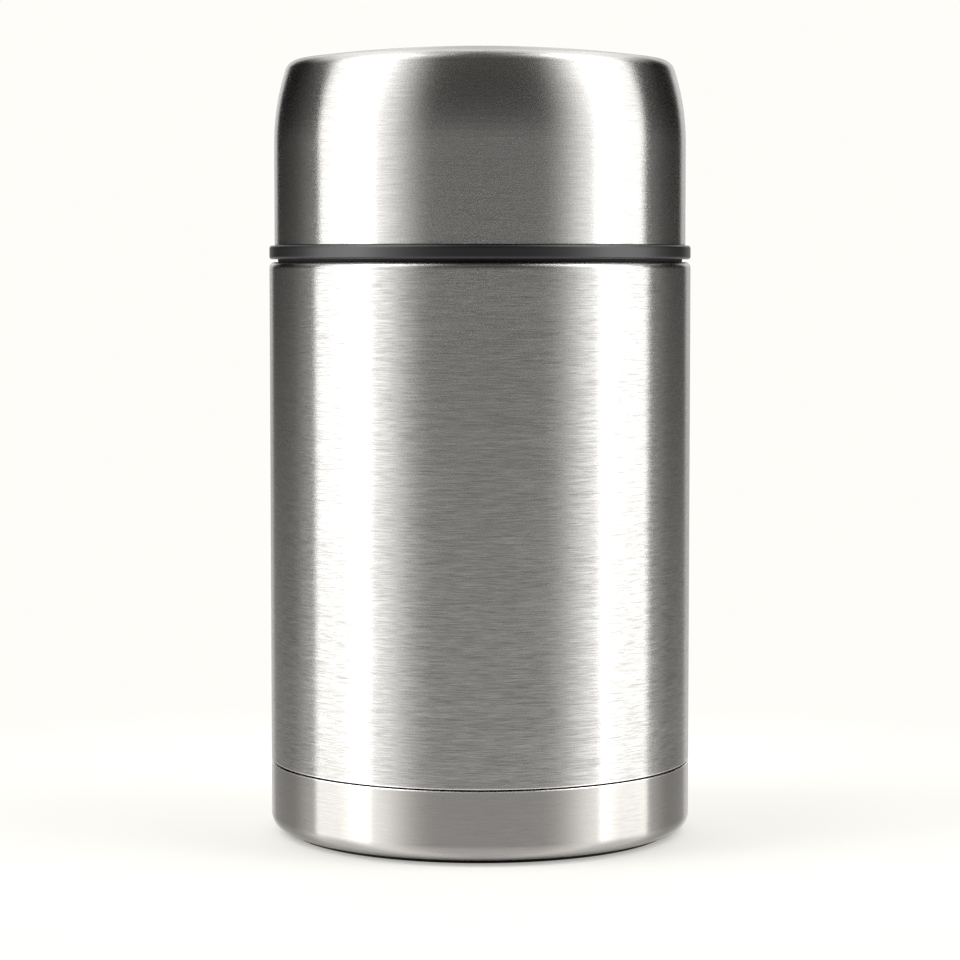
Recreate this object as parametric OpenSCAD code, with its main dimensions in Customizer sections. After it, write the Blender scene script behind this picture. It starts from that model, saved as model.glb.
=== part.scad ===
// Wide-mouth vacuum food jar: a double-walled flask on a pressed base cup, a screw stopper with
// a push-button vent, and a double-walled lid that unscrews and serves as a bowl.
// Millimetres, +Z up. The origin is the centre of the foot pad, on the plane that the jar stands on.

/* [Body] */
// Outside diameter of the jar's wall
body_d = 108; // [100:0.5:120]
// Height of the shoulder above the table
body_h = 146.7; // [110:0.1:190]
// Sheet thickness of the outer wall and the base cup
wall_t = 0.6; // [0.4:0.05:0.8]
// Rounding of the shoulder's outer edge
shoulder_r = 1.5; // [1:0.1:2]
// Width of the ledge between the wall and the neck
shoulder_w = 5.5; // [5.2:0.1:7]
// Height of the mouth's rim above the shoulder
neck_h = 14.3; // [12:0.1:20]
// Rounding between the ledge and the neck
neck_cove_r = 0.8; // [0.5:0.1:1]
// Width of the rolled rim, from the neck to the mouth
rim_w = 3.5; // [3.2:0.1:5]
// Rounding of the rolled rim's two edges
lip_r = 1.5; // [1:0.1:1.6]
// Height of the rim's inner leg, which the liner is welded to
weld_land_h = 2.5; // [2:0.1:4]

/* [Base cup] */
// Height of the seam between the wall and the base cup
seam_h = 18.7; // [14:0.1:25]
// Width of the seam's groove
seam_gap = 0.5; // [0.3:0.05:0.8]
// Rounding of the base cup's bottom edge
base_r = 3.8; // [2.5:0.1:5]
// Width of the flat ring between that rounding and the recess
foot_w = 0.5; // [0.4:0.1:3]
// Depth of the recess that holds the foot pad
foot_recess = 1.5; // [1:0.1:2.5]
// Rounding of the recess's edge
foot_edge_r = 0.4; // [0.3:0.1:1]
// Rounding where the recess meets its wall
recess_r = 1; // [0.5:0.1:1.5]
// Height that the foot pad lifts the base cup off the table
pad_proud = 1; // [0.6:0.1:2]
// Play between the foot pad and the recess
pad_fit = 0.1; // [0.05:0.05:0.3]
// Rounding of the foot pad's bottom edge
pad_edge_r = 0.3; // [0.2:0.1:0.5]
// Play between the base cup and the swaged end of the wall
cup_fit = 0.05; // [0.02:0.01:0.1]
// Rounding of the two sheet edges at the seam
seam_edge_r = 0.2; // [0.1:0.05:0.3]

/* [Vacuum flask] */
// Width of the evacuated space between the two walls
vacuum_gap = 3.2; // [2.5:0.1:5]
// Sheet thickness of the liner
liner_t = 0.5; // [0.4:0.05:0.8]
// Rounding of the liner's bottom edge
liner_base_r = 8; // [4:0.5:12]
// Rounding of the liner's shoulder
liner_shoulder_r = 3; // [2:0.1:3.5]
// Rounding between the liner's shoulder and its neck
liner_cove_r = 1.2; // [0.5:0.1:1.5]
// Thickness of the foil wrap
foil_t = 0.1; // [0.05:0.05:0.2]
// Sheet thickness of the vacuum base disc
disc_t = 0.8; // [0.6:0.1:1.2]
// Height of the disc's welding flange
disc_flange_h = 3.4; // [3:0.1:5]
// Rounding of the disc's edge
disc_r = 2; // [1.5:0.1:2.5]
// Space between the disc and the liner's bottom
disc_gap = 4.5; // [3.5:0.1:8]
// Space between the base cup's rounding and the end of the wall
wall_end_gap = 1; // [0.5:0.1:2]
// Radius of the disc's sealing dimple
dimple_in_r = 7; // [5:0.5:10]
// Height of the disc's sealing dimple
dimple_h = 1.6; // [1:0.1:2]
// Radius of the pump-out hole
pump_hole_r = 1.2; // [0.8:0.1:1.6]
// Radius of the bead that closes the pump-out hole
bead_r = 3.2; // [2.5:0.1:4]
// Height of the bead that closes the pump-out hole
bead_h = 1; // [0.6:0.1:1.2]
// Radius of the getter's cup
getter_r = 5; // [3:0.5:7]
// Height of the getter's cup
getter_h = 1.6; // [1:0.1:2]
// Distance of the getter from the axis
getter_offset = 26; // [18:0.5:35]

/* [Lid] */
// Height of the open gap between the shoulder and the lid ring
lid_gap = 0.7; // [0.4:0.1:1.2]
// Height of the lid ring's visible edge
ring_h = 3.5; // [3:0.1:6]
// Rounding of the lid ring's edges
ring_edge_r = 0.7; // [0.4:0.1:1]
// Width of the ring's step outside the lid shell
ring_ledge = 1.35; // [1:0.05:1.6]
// Height of the ring's collar inside the lid shell
collar_h = 9; // [8:0.1:10]
// Play between the ring's collar and the lid shell
collar_fit = 0.1; // [0.05:0.05:0.15]
// Space for the thread between the neck and the lid ring
lid_thread_room = 1.2; // [1:0.1:1.3]
// Height of the lid shell, from the ring to the crown
lid_h = 50.2; // [48:0.1:60]
// Height of the lid shell's straight part
lid_straight_h = 25.9; // [20:0.1:30]
// Radius of the arc that draws the flank inward
flank_r = 61; // [55:1:120]
// Rounding of the lid's top edge
lid_edge_r = 3.6; // [3:0.1:6]
// Radius of the shallow crown
crown_r = 344; // [250:1:600]
// Sheet thickness of the lid shell
lid_t = 0.6; // [0.4:0.05:0.8]
// Space between the lid shell and its bowl
lid_air = 1.2; // [1:0.1:1.4]
// Sheet thickness of the bowl
bowl_t = 0.5; // [0.4:0.05:0.6]
// Rounding inside the bowl's bottom edge
bowl_edge_r = 8; // [4:0.5:10]
// Width of the lid gasket
lid_gasket_w = 2; // [1.5:0.1:2]
// Depth of the lid gasket's seat in the ring
lid_gasket_seat = 1.3; // [1:0.1:1.6]

/* [Stopper] */
// Depth of the plug below the jar's rim
plug_depth = 24; // [18:0.5:30]
// Wall thickness of the plug
plug_t = 2; // [1.5:0.1:2.5]
// Rounding of the plug's bottom edge
plug_edge_r = 2.4; // [2:0.1:3]
// Space for the thread between the plug and the mouth
plug_thread_room = 1.3; // [1:0.1:1.5]
// Thickness of the stopper gasket
stopper_gasket_h = 1.4; // [1:0.1:2]
// Height of the stopper cap above its gasket
cap_h = 20; // [17:0.1:22]
// Height of the cap's flange
flange_h = 2.4; // [2:0.1:3]
// Distance of the flange's edge inside the neck's outside
flange_inset = 0.4; // [0.3:0.1:1]
// Wall thickness of the cap
cap_t = 2.4; // [2:0.1:2.6]
// Distance of the grip inside the flange's edge
grip_inset = 3.6; // [3:0.1:4]
// Rounding of the cap's top edge
grip_edge_r = 2.2; // [1.5:0.1:2.6]
// Number of scallops round the grip
scallops = 30; // [12:1:40]
// Radius of one scallop
scallop_r = 4; // [3:0.1:5]
// Depth of one scallop
scallop_depth = 0.7; // [0.3:0.1:1]
// Depth of the dish in the cap's top
dish_depth = 1.2; // [0.8:0.1:1.6]
// Width of the rim round the dish
dish_rim_w = 5; // [4:0.1:7]

/* [Vent] */
// Radius of the push button
button_r = 14; // [12:0.1:16]
// Wall thickness of the push button
button_t = 1.6; // [1.2:0.1:2]
// Height of the button above the dish
button_proud = 1; // [0.5:0.1:1.2]
// Travel of the button
button_travel = 3; // [2:0.1:3.5]
// Height of the button's snap rim
snap_h = 1.2; // [1:0.1:1.6]
// Width of the button's snap rim
snap_w = 1.2; // [1:0.1:1.5]
// Radius of the button's rounded edge
button_edge_r = 1; // [0.5:0.1:1.2]
// Depth of the finger dish in the button's top
button_dish = 0.6; // [0.4:0.1:0.8]
// Play of the button and the stem in the cap's holes
slide_play = 0.3; // [0.3:0.05:0.4]
// Wall thickness of the button's well
well_t = 1.8; // [1.4:0.1:2.4]
// Space left under the button's boss when it is pressed
boss_clear = 1.6; // [1:0.1:2.5]
// Radius of the vent stem
stem_r = 3; // [2.5:0.1:3.4]
// Space for steam round the stem
steam_gap = 1.2; // [1:0.1:1.5]
// Number of steam notches in the well's floor
steam_notches = 4; // [3:1:6]
// Wall thickness of the stem's guide tube
guide_t = 2; // [1.5:0.1:2.4]
// Wall of the button's boss round the stem
boss_t = 1.8; // [1.4:0.1:2]
// Depth of the stem's socket in the boss
socket_h = 7; // [6:0.1:8]
// Wire diameter of the vent spring
wire_d = 1; // [0.8:0.05:1.2]
// Space between the boss and the spring
spring_play = 0.8; // [0.5:0.1:1.2]
// Number of working coils in the spring
coils = 4; // [3:1:5]
// Height of the sealing land under the plug
seat_h = 0.5; // [0.3:0.1:0.8]
// Radius of the vent seal
seal_r = 8.5; // [8:0.1:11]
// Thickness of the vent seal
seal_h = 2; // [1.5:0.1:3]
// Outside radius of the retaining clip
clip_r = 5.6; // [5:0.1:7]
// Thickness of the retaining clip
clip_h = 1; // [0.8:0.1:1.4]
// Length of the stem's tip below the clip
stem_tip_h = 1.4; // [1:0.1:2]

/* [Hidden] */
$fn = 128;

// Cutting tools run past the face they open by this much
over = 1;

// Colours
steel = [0.77, 0.77, 0.76];
liner_steel = [0.82, 0.82, 0.81];
copper = [0.80, 0.52, 0.36];
charcoal = [0.10, 0.10, 0.11];
moulded_grey = [0.30, 0.31, 0.32];
button_grey = [0.42, 0.43, 0.44];
silicone = [0.86, 0.86, 0.84];
black_silicone = [0.09, 0.09, 0.09];
foam_white = [0.95, 0.95, 0.93];

// Body levels and radii
body_r = body_d / 2;
neck_r = body_r - shoulder_w;
mouth_r = neck_r - rim_w;
rim_z = body_h + neck_h;
weld_z = rim_z - lip_r - weld_land_h;

// Base cup and swaged end of the wall
wall_foot_z = seam_h + seam_gap / 2;
cup_top_z = seam_h - seam_gap / 2;
swage_r = body_r - wall_t - cup_fit;
swage_foot_z = pad_proud + base_r + wall_end_gap;
recess_in_r = body_r - base_r - foot_w - foot_edge_r;
recess_z = pad_proud + foot_recess;

// Vacuum flask
disc_out_r = swage_r - wall_t;
disc_top_z = swage_foot_z + disc_flange_h;
liner_r = body_r - wall_t - vacuum_gap;
liner_foot_z = disc_top_z + disc_gap;
liner_top_z = body_h - wall_t - vacuum_gap;
dimple_round = 0.2;
bead_z = disc_top_z + dimple_h - disc_t - bead_h;

// Lid
ring_z = body_h + lid_gap;
ring_top_z = ring_z + ring_h;
ring_bore_r = neck_r + lid_thread_room;
lid_r = body_r - ring_ledge;
collar_r = lid_r - lid_t - collar_fit;
collar_top_z = ring_top_z + collar_h;
turn_z = ring_top_z + lid_straight_h;
crown_z = ring_top_z + lid_h;
flank_centre = [lid_r - flank_r, turn_z];
crown_centre = [0, crown_z - crown_r];
lid_gasket_play = 0.3;
lid_gasket_in_r = ring_bore_r + lid_gasket_play / 2;
lid_gasket_out_r = lid_gasket_in_r + lid_gasket_w;
bowl_inset = lid_t + lid_air;
lid_foot_r = lid_t / 2;

// Stopper
plug_r = mouth_r - plug_thread_room;
plug_z = rim_z - plug_depth;
plug_floor_z = plug_z + plug_t;
cap_z = rim_z + stopper_gasket_h;
cap_top_z = cap_z + cap_h;
plug_top_z = cap_z + flange_h;
plug_in_round = plug_edge_r / 2;
flange_out_r = neck_r - flange_inset;
grip_r = flange_out_r - grip_inset;
gasket_play = 0.4;
gasket_inset = 0.3;
flange_edge_r = 0.8;
grip_cove_r = 1.2;

// Vent
dish_z = cap_top_z - dish_depth;
plate_z = dish_z - cap_t;
well_r = button_r + snap_w + slide_play;
guide_bore_r = stem_r + steam_gap;
guide_r = guide_bore_r + guide_t;
button_top_z = dish_z + button_proud;
button_under_z = button_top_z - button_dish - button_t;
boss_r = stem_r + boss_t;
boss_z = button_under_z - socket_h;
well_floor_z = boss_z - button_travel - boss_clear;
well_bottom_z = well_floor_z - well_t;
spring_r = boss_r + spring_play + wire_d / 2;
seal_z = plug_z - seat_h - seal_h;
clip_z = seal_z - clip_h;
stem_z = clip_z - stem_tip_h;
foam_play = 0.3;

// Radius of the sphere that hollows the button's top to the depth of its finger dish
finger_edge_r = button_r - 2 * button_t;
finger_r = (finger_edge_r * finger_edge_r + button_dish * button_dish) / (2 * button_dish);

// Spring between the well's floor and the button
closed_pitch = 1.05 * wire_d;
spring_h = button_under_z - well_floor_z;
open_pitch = (spring_h - 2 * closed_pitch) / coils;

// Quarter of a disc, turned by an angle
module quarter_2d(round, angle) {
    rotate(angle) intersection() {
        circle(round);
        square(round);
    }
}

// Half section of a round can from z0 to z1, with its two outer edges rounded
module can_2d(r, z0, z1, foot_round, top_round) {
    translate([0, z0 + foot_round])
        square([r, z1 - z0 - foot_round - top_round]);
    if (foot_round > 0) {
        translate([0, z0]) square([r - foot_round, foot_round]);
        translate([r - foot_round, z0 + foot_round]) quarter_2d(foot_round, -90);
    }
    if (top_round > 0) {
        translate([0, z1 - top_round]) square([r - top_round, top_round]);
        translate([r - top_round, z1 - top_round]) quarter_2d(top_round, 0);
    }
}

// Half section of a ring from r0 to r1 with both top edges rounded
module band_2d(r0, r1, z0, z1, top_round) {
    translate([r0, z0]) square([r1 - r0, z1 - z0 - top_round]);
    translate([r0 + top_round, z1 - top_round])
        square([r1 - r0 - 2 * top_round, top_round]);
    translate([r0 + top_round, z1 - top_round]) quarter_2d(top_round, 90);
    translate([r1 - top_round, z1 - top_round]) quarter_2d(top_round, 0);
}

// Plain half section of a ring
module sleeve_2d(r0, r1, z0, z1) {
    translate([r0, z0]) square([r1 - r0, z1 - z0]);
}

// Hollow rounding that fills the corner between a wall at r and a ledge at z
module cove_2d(r, z, round) {
    difference() {
        translate([r, z]) square(round);
        translate([r + round, z + round]) circle(round);
    }
}

// What a rounding takes off the lower outside edge of a wall whose foot is at [r, z]
module edge_cut_2d(r, z, round) {
    translate([r - round, z]) difference() {
        square(round);
        translate([0, round]) circle(round);
    }
}

// Outer meeting point of two circles, given by centre and radius
function circles_meet(c1, r1, c2, r2) =
    let (
        d = norm(c2 - c1),
        u = (c2 - c1) / d,
        along = (r1 * r1 - r2 * r2 + d * d) / (2 * d),
        across = sqrt(r1 * r1 - along * along)
    )
    c1 + along * u + across * [-u.y, u.x];

function unit(v) = v / norm(v);

// ---- Vessel ----

// Outline of the jar's wall, shoulder and neck, brought inward by inset
module jar_2d(inset) {
    can_2d(body_r - inset, wall_foot_z + inset, body_h - inset, 0, shoulder_r - inset);
    sleeve_2d(0, neck_r - inset, body_h - inset - over, rim_z - lip_r);
    cove_2d(neck_r - inset, body_h - inset, neck_cove_r + inset);
    sleeve_2d(0, swage_r - inset, swage_foot_z - inset, wall_foot_z + inset);
}

module outer_shell() {
    color(steel) rotate_extrude() {
        difference() {
            jar_2d(0);
            jar_2d(wall_t);
            sleeve_2d(0, neck_r - wall_t, rim_z - lip_r - over, rim_z);
            edge_cut_2d(body_r, wall_foot_z, seam_edge_r);
        }
        difference() {
            band_2d(mouth_r, neck_r, weld_z, rim_z, lip_r);
            band_2d(mouth_r + wall_t, neck_r - wall_t, weld_z - over, rim_z - wall_t,
                lip_r - wall_t);
        }
    }
}

module base_cup() {
    color(steel) rotate_extrude() difference() {
        can_2d(body_r, pad_proud, cup_top_z, base_r, seam_edge_r);
        can_2d(recess_in_r, pad_proud - over, recess_z, 0, recess_r);
        cove_2d(recess_in_r, pad_proud, foot_edge_r);
        difference() {
            can_2d(body_r - wall_t, pad_proud + wall_t, cup_top_z + over, base_r - wall_t, 0);
            can_2d(recess_in_r + wall_t, 0, recess_z + wall_t, 0, recess_r + wall_t);
        }
    }
}

module foot_pad() {
    color(black_silicone) rotate_extrude()
        can_2d(recess_in_r - pad_fit, 0, recess_z, pad_edge_r, recess_r);
}

// Outline of the liner, brought inward by inset
module liner_2d(inset) {
    can_2d(liner_r - inset, liner_foot_z + inset, liner_top_z - inset,
        liner_base_r - inset, liner_shoulder_r - inset);
    cove_2d(mouth_r + liner_t - inset, liner_top_z - inset, liner_cove_r + inset);
}

module inner_flask() {
    color(liner_steel) rotate_extrude() difference() {
        union() {
            liner_2d(0);
            sleeve_2d(0, mouth_r + liner_t, liner_top_z - over, weld_z);
        }
        liner_2d(liner_t);
        sleeve_2d(0, mouth_r, liner_top_z - liner_t - over, weld_z + over);
    }
}

module reflective_foil() {
    color(copper) rotate_extrude()
        sleeve_2d(liner_r, liner_r + foil_t,
            liner_foot_z + liner_base_r, liner_top_z - liner_shoulder_r);
}

// Outline of the base disc with its raised dimple, brought inward by inset
module disc_2d(inset) {
    can_2d(disc_out_r - inset, swage_foot_z - inset, disc_top_z - inset, 0, disc_r - inset);
    can_2d(dimple_in_r + disc_t - inset, disc_top_z - inset - over,
        disc_top_z + dimple_h - inset, 0, disc_t + dimple_round - inset);
}

module vacuum_base_disc() {
    color(steel) rotate_extrude() difference() {
        disc_2d(0);
        disc_2d(disc_t);
        sleeve_2d(0, pump_hole_r, disc_top_z, disc_top_z + dimple_h + over);
    }
}

module vacuum_seal_bead() {
    color(charcoal) rotate_extrude() {
        can_2d(bead_r, bead_z, bead_z + bead_h, bead_h / 2, 0);
        sleeve_2d(0, pump_hole_r, bead_z + bead_h / 2, disc_top_z + dimple_h);
    }
}

module getter() {
    color(moulded_grey) translate([getter_offset, 0, disc_top_z]) rotate_extrude()
        difference() {
            can_2d(getter_r, 0, getter_h, 0, getter_h / 4);
            sleeve_2d(0, getter_r / 2, getter_h / 2, getter_h + over);
        }
}

// ---- Stopper ----

module stopper_gasket() {
    edge_r = stopper_gasket_h / 2;
    color(silicone) rotate_extrude() {
        sleeve_2d(plug_r + gasket_play, flange_out_r - gasket_inset - edge_r,
            rim_z, cap_z);
        translate([flange_out_r - gasket_inset - edge_r, rim_z + edge_r]) circle(edge_r);
    }
}

module stopper_plug() {
    color(moulded_grey) rotate_extrude() {
        difference() {
            can_2d(plug_r, plug_z, plug_top_z, plug_edge_r, 0);
            can_2d(plug_r - plug_t, plug_floor_z, plug_top_z + over, plug_in_round, 0);
            sleeve_2d(0, guide_bore_r, plug_z - over, plug_floor_z + over);
        }
        sleeve_2d(guide_bore_r, guide_r, plug_z - seat_h, well_bottom_z);
    }
}

module stopper_foam() {
    color(foam_white) rotate_extrude() difference() {
        can_2d(plug_r - plug_t - foam_play, plug_floor_z, well_bottom_z, plug_in_round, 0);
        sleeve_2d(0, guide_r + foam_play, plug_floor_z - over, well_bottom_z + over);
    }
}

// Half section of the cap before the scallops are cut
module cap_2d() {
    difference() {
        union() {
            can_2d(flange_out_r, cap_z, plug_top_z, flange_edge_r / 2, flange_edge_r);
            can_2d(grip_r, cap_z, cap_top_z, 0, grip_edge_r);
            cove_2d(grip_r, plug_top_z, grip_cove_r);
        }
        sleeve_2d(0, plug_r, cap_z - over, plug_top_z);
        can_2d(grip_r - cap_t, cap_z, plate_z, 0, grip_edge_r / 2);
        sleeve_2d(0, grip_r - dish_rim_w, dish_z, cap_top_z + over);
        sleeve_2d(0, button_r + slide_play, plate_z - over, dish_z + over);
    }
    sleeve_2d(well_r, well_r + well_t, well_bottom_z, plate_z);
    sleeve_2d(0, well_r + well_t, well_bottom_z, well_floor_z);
}

module stopper_cap() {
    color(moulded_grey) difference() {
        rotate_extrude() cap_2d();
        for (i = [0 : scallops - 1])
            rotate(i * 360 / scallops)
                translate([grip_r + scallop_r - scallop_depth, 0, plug_top_z + grip_cove_r])
                    cylinder(r = scallop_r, h = cap_h);
        translate([0, 0, well_bottom_z - over])
            cylinder(r = stem_r + slide_play, h = well_t + 2 * over);
        for (i = [0 : steam_notches - 1])
            rotate(i * 360 / steam_notches)
                translate([stem_r + slide_play, 0, well_bottom_z - over])
                    cylinder(r = steam_gap - slide_play, h = well_t + 2 * over);
    }
}

// ---- Vent ----

module vent_button() {
    color(button_grey) rotate_extrude() {
        difference() {
            union() {
                can_2d(button_r, plate_z - snap_h, button_top_z, 0, button_edge_r);
                sleeve_2d(0, button_r + snap_w, plate_z - snap_h, plate_z);
            }
            sleeve_2d(0, button_r - button_t, plate_z - snap_h - over, button_under_z);
            intersection() {
                sleeve_2d(0, finger_edge_r, button_top_z - button_dish,
                    button_top_z + over);
                translate([0, button_top_z - button_dish + finger_r])
                    circle(finger_r, $fn = 256);
            }
        }
        sleeve_2d(stem_r, boss_r, boss_z, button_under_z);
    }
}

module vent_stem() {
    color(button_grey) rotate_extrude()
        can_2d(stem_r, stem_z, button_under_z, stem_tip_h / 2, 0);
}

// Height of the spring's centre line after a given number of turns: one closed coil at each
// end and an even pitch between them
function spring_z(turns) =
    turns < 1 ? turns * closed_pitch
    : turns > coils + 1 ? spring_h - (coils + 2 - turns) * closed_pitch
    : closed_pitch + (turns - 1) * open_pitch;

module vent_spring() {
    sides = 8;
    steps_per_turn = 20;
    steps = steps_per_turn * (coils + 2);
    points = [
        for (i = [0 : steps], k = [0 : sides - 1])
            let (
                turn = 360 * i / steps_per_turn,
                side = 360 * k / sides,
                r = spring_r + wire_d / 2 * cos(side)
            )
            [r * cos(turn), r * sin(turn),
                spring_z(i / steps_per_turn) + wire_d / 2 * sin(side)]
    ];
    skin = [
        for (i = [0 : steps - 1], k = [0 : sides - 1])
            let (a = i * sides, b = a + sides, next = (k + 1) % sides)
            [a + k, b + k, b + next, a + next]
    ];
    ends = [
        [for (k = [0 : sides - 1]) k],
        [for (k = [sides - 1 : -1 : 0]) steps * sides + k]
    ];
    color(steel) intersection() {
        translate([0, 0, well_floor_z])
            polyhedron(points = points, faces = concat(skin, ends), convexity = 10);
        translate([0, 0, well_floor_z]) cylinder(r = well_r, h = spring_h);
    }
}

module vent_seal() {
    color(silicone) rotate_extrude() difference() {
        can_2d(seal_r, seal_z, seal_z + seal_h, seal_h / 2, seal_h / 4);
        sleeve_2d(0, stem_r, seal_z - over, seal_z + seal_h + over);
    }
}

module vent_clip() {
    color(steel) rotate_extrude() difference() {
        can_2d(clip_r, clip_z, seal_z, clip_h / 3, 0);
        sleeve_2d(0, stem_r, clip_z - over, seal_z + over);
    }
}

// ---- Lid ----

// Outline of the lid, brought inward by inset: a straight side, an arc that draws it in,
// a rounded top edge and a shallow crown, each tangent to the next
module lid_2d(inset, edge_r, foot_z) {
    side_r = lid_r - inset;
    flank = flank_r - inset;
    crown = crown_r - inset;
    edge_centre = circles_meet(flank_centre, flank - edge_r, crown_centre, crown - edge_r);
    to_flank = unit(edge_centre - flank_centre);
    to_crown = unit(edge_centre - crown_centre);
    outward = unit(to_flank + to_crown);
    corner_reach = 1.3 * edge_r / (outward * to_flank);
    sleeve_2d(0, side_r, foot_z, turn_z);
    difference() {
        intersection() {
            sleeve_2d(0, side_r + over, turn_z, crown_z + over);
            translate(flank_centre) circle(flank, $fn = 256);
            translate(crown_centre) circle(crown, $fn = 256);
        }
        polygon([
            edge_centre,
            edge_centre + edge_r * to_flank,
            edge_centre + corner_reach * outward,
            edge_centre + edge_r * to_crown
        ]);
    }
    translate(edge_centre) circle(edge_r);
}

module lid_shell() {
    color(steel) rotate_extrude() difference() {
        lid_2d(0, lid_edge_r, ring_top_z);
        lid_2d(lid_t, lid_edge_r - lid_t, ring_top_z - over);
        edge_cut_2d(lid_r, ring_top_z, lid_foot_r);
    }
}

module lid_bowl() {
    color(liner_steel) rotate_extrude() {
        difference() {
            lid_2d(bowl_inset, bowl_edge_r + bowl_t, collar_top_z);
            lid_2d(bowl_inset + bowl_t, bowl_edge_r, collar_top_z - over);
        }
        sleeve_2d(lid_r - bowl_inset - bowl_t, lid_r - lid_t, collar_top_z,
            collar_top_z + bowl_t);
    }
}

module lid_ring() {
    color(charcoal) rotate_extrude() difference() {
        union() {
            can_2d(body_r, ring_z, ring_top_z, ring_edge_r, ring_edge_r);
            can_2d(collar_r, ring_z, collar_top_z, 0, 0);
        }
        sleeve_2d(0, ring_bore_r, ring_z - over, collar_top_z + over);
        sleeve_2d(0, lid_gasket_out_r + lid_gasket_play, ring_z - over,
            ring_z + lid_gasket_seat);
    }
}

module lid_gasket() {
    color(black_silicone) rotate_extrude()
        sleeve_2d(lid_gasket_in_r, lid_gasket_out_r, body_h, ring_z + lid_gasket_seat);
}

outer_shell();
base_cup();
foot_pad();
inner_flask();
reflective_foil();
vacuum_base_disc();
getter();
vacuum_seal_bead();
stopper_gasket();
stopper_plug();
stopper_foam();
stopper_cap();
vent_button();
vent_stem();
vent_spring();
vent_seal();
vent_clip();
lid_gasket();
lid_ring();
lid_shell();
lid_bowl();
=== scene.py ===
"""Looks of a wide-mouth vacuum food jar: a brushed double-walled body on a pressed base cup, a screw
stopper with a push-button vent, and a double-walled lid that unscrews and serves as a bowl.

Sizes of pieces are in millimetres and are turned to metres where a mesh is made. +Z is up, and the
origin is the centre of the foot pad's underside.
"""

import functools
import logging
import math
from dataclasses import dataclass, replace
from enum import Enum
from typing import Callable

import bmesh
import bpy
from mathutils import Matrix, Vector


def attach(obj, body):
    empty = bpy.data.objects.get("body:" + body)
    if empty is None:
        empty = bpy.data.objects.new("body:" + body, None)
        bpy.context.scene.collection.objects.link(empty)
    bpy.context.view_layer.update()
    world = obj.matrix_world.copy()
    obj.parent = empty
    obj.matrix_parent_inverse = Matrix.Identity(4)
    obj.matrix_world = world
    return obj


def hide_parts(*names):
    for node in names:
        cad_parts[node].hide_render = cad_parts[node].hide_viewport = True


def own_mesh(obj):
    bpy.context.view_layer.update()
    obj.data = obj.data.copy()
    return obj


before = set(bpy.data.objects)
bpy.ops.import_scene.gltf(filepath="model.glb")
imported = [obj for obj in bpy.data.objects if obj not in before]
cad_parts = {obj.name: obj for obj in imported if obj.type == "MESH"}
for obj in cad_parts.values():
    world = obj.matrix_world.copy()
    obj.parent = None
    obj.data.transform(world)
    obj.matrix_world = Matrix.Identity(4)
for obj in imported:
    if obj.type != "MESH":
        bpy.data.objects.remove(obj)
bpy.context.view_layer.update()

MM = 0.001
FULL_TURN = 2 * math.pi
# Facets round a turned piece, and the widest facet of a rounding
SEGMENTS = 192
ROUNDING_STEP = math.radians(9)
# Long straight stretches get a holding edge this far from each end, so that shading stays flat
HOLD = 0.3
LONG_STRETCH = 4 * HOLD
# Edges that bend by more degrees than this stay crisp, on turned pieces and on coils and threads
CRISP_TURNED = 35.0
CRISP_WOUND = 50.0
# Vertices closer than this are one, in metres, on a finished piece and on a section to be wound
MERGE = 1e-6
MERGE_SECTION = 1e-7
# A vertex that would move by less than this share of its radius stays
LEAST_SHIFT = 1e-5
# Roundings of small edges, from the sharpest to the softest
HAIR, FINE, EASED, SOFT, FULL = 0.15, 0.2, 0.3, 0.4, 0.5

log = logging.getLogger("food_jar")

Point = tuple[float, float]
Span = tuple[float, float]
Piece = bpy.types.Object
Tree = bpy.types.NodeTree
Socket = bpy.types.NodeSocket


class Body(Enum):
    """Bodies of the frame that pieces move with."""

    VESSEL = "vessel"
    STOPPER_SEAL = "stopper_seal"
    STOPPER = "stopper"
    VENT_VALVE = "vent_valve"
    LID_SEAL = "lid_seal"
    LID = "lid"


class Slot(Enum):
    """Material slots of the record."""

    BRUSHED_STEEL = "brushed_steel"
    LINER_STEEL = "liner_steel"
    SPRING_STEEL = "spring_steel"
    COPPER_FOIL = "copper_foil"
    GETTER_ALLOY = "getter_alloy"
    SEAL_GLASS = "seal_glass"
    RING_PLASTIC = "ring_plastic"
    STOPPER_PLASTIC = "stopper_plastic"
    BUTTON_PLASTIC = "button_plastic"
    FOAM = "foam"
    SILICONE = "silicone"
    BLACK_SILICONE = "black_silicone"


class Grain(Enum):
    """How brushing lines keep following a turned wall where it bends into a level face.

    The lines lie where z plus this factor times the radius is constant.
    """

    CROWNED = -1.0
    CUPPED = 1.0


class Texture(Enum):
    """Fine surface patterns."""

    SPECKS = "TexNoise"
    CELLS = "TexVoronoi"


class Side(Enum):
    """Side of a round wall that carries a thread or grooves."""

    OUTER = 1.0
    INNER = -1.0


# ---- Outlines ----


@dataclass
class Corner:
    """A corner of an outline, at radius r and height z, with its rounding."""

    r: float
    z: float
    rounding: float = 0.0


def arc_points(centre: Point, radius: float, start: float, end: float, step: float) -> list[Corner]:
    """Points along an arc, its two ends included.

    Args:
        centre: Centre of the arc as (r, z).
        radius: Radius of the arc.
        start: Angle of the first point, in radians from the +r direction.
        end: Angle of the last point.
        step: Widest angle between two points.

    Returns:
        The points as plain corners.
    """
    count = max(1, math.ceil(abs(end - start) / step))
    angles = [start + (end - start) * i / count for i in range(count + 1)]
    return [Corner(centre[0] + radius * math.cos(a), centre[1] + radius * math.sin(a)) for a in angles]


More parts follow.
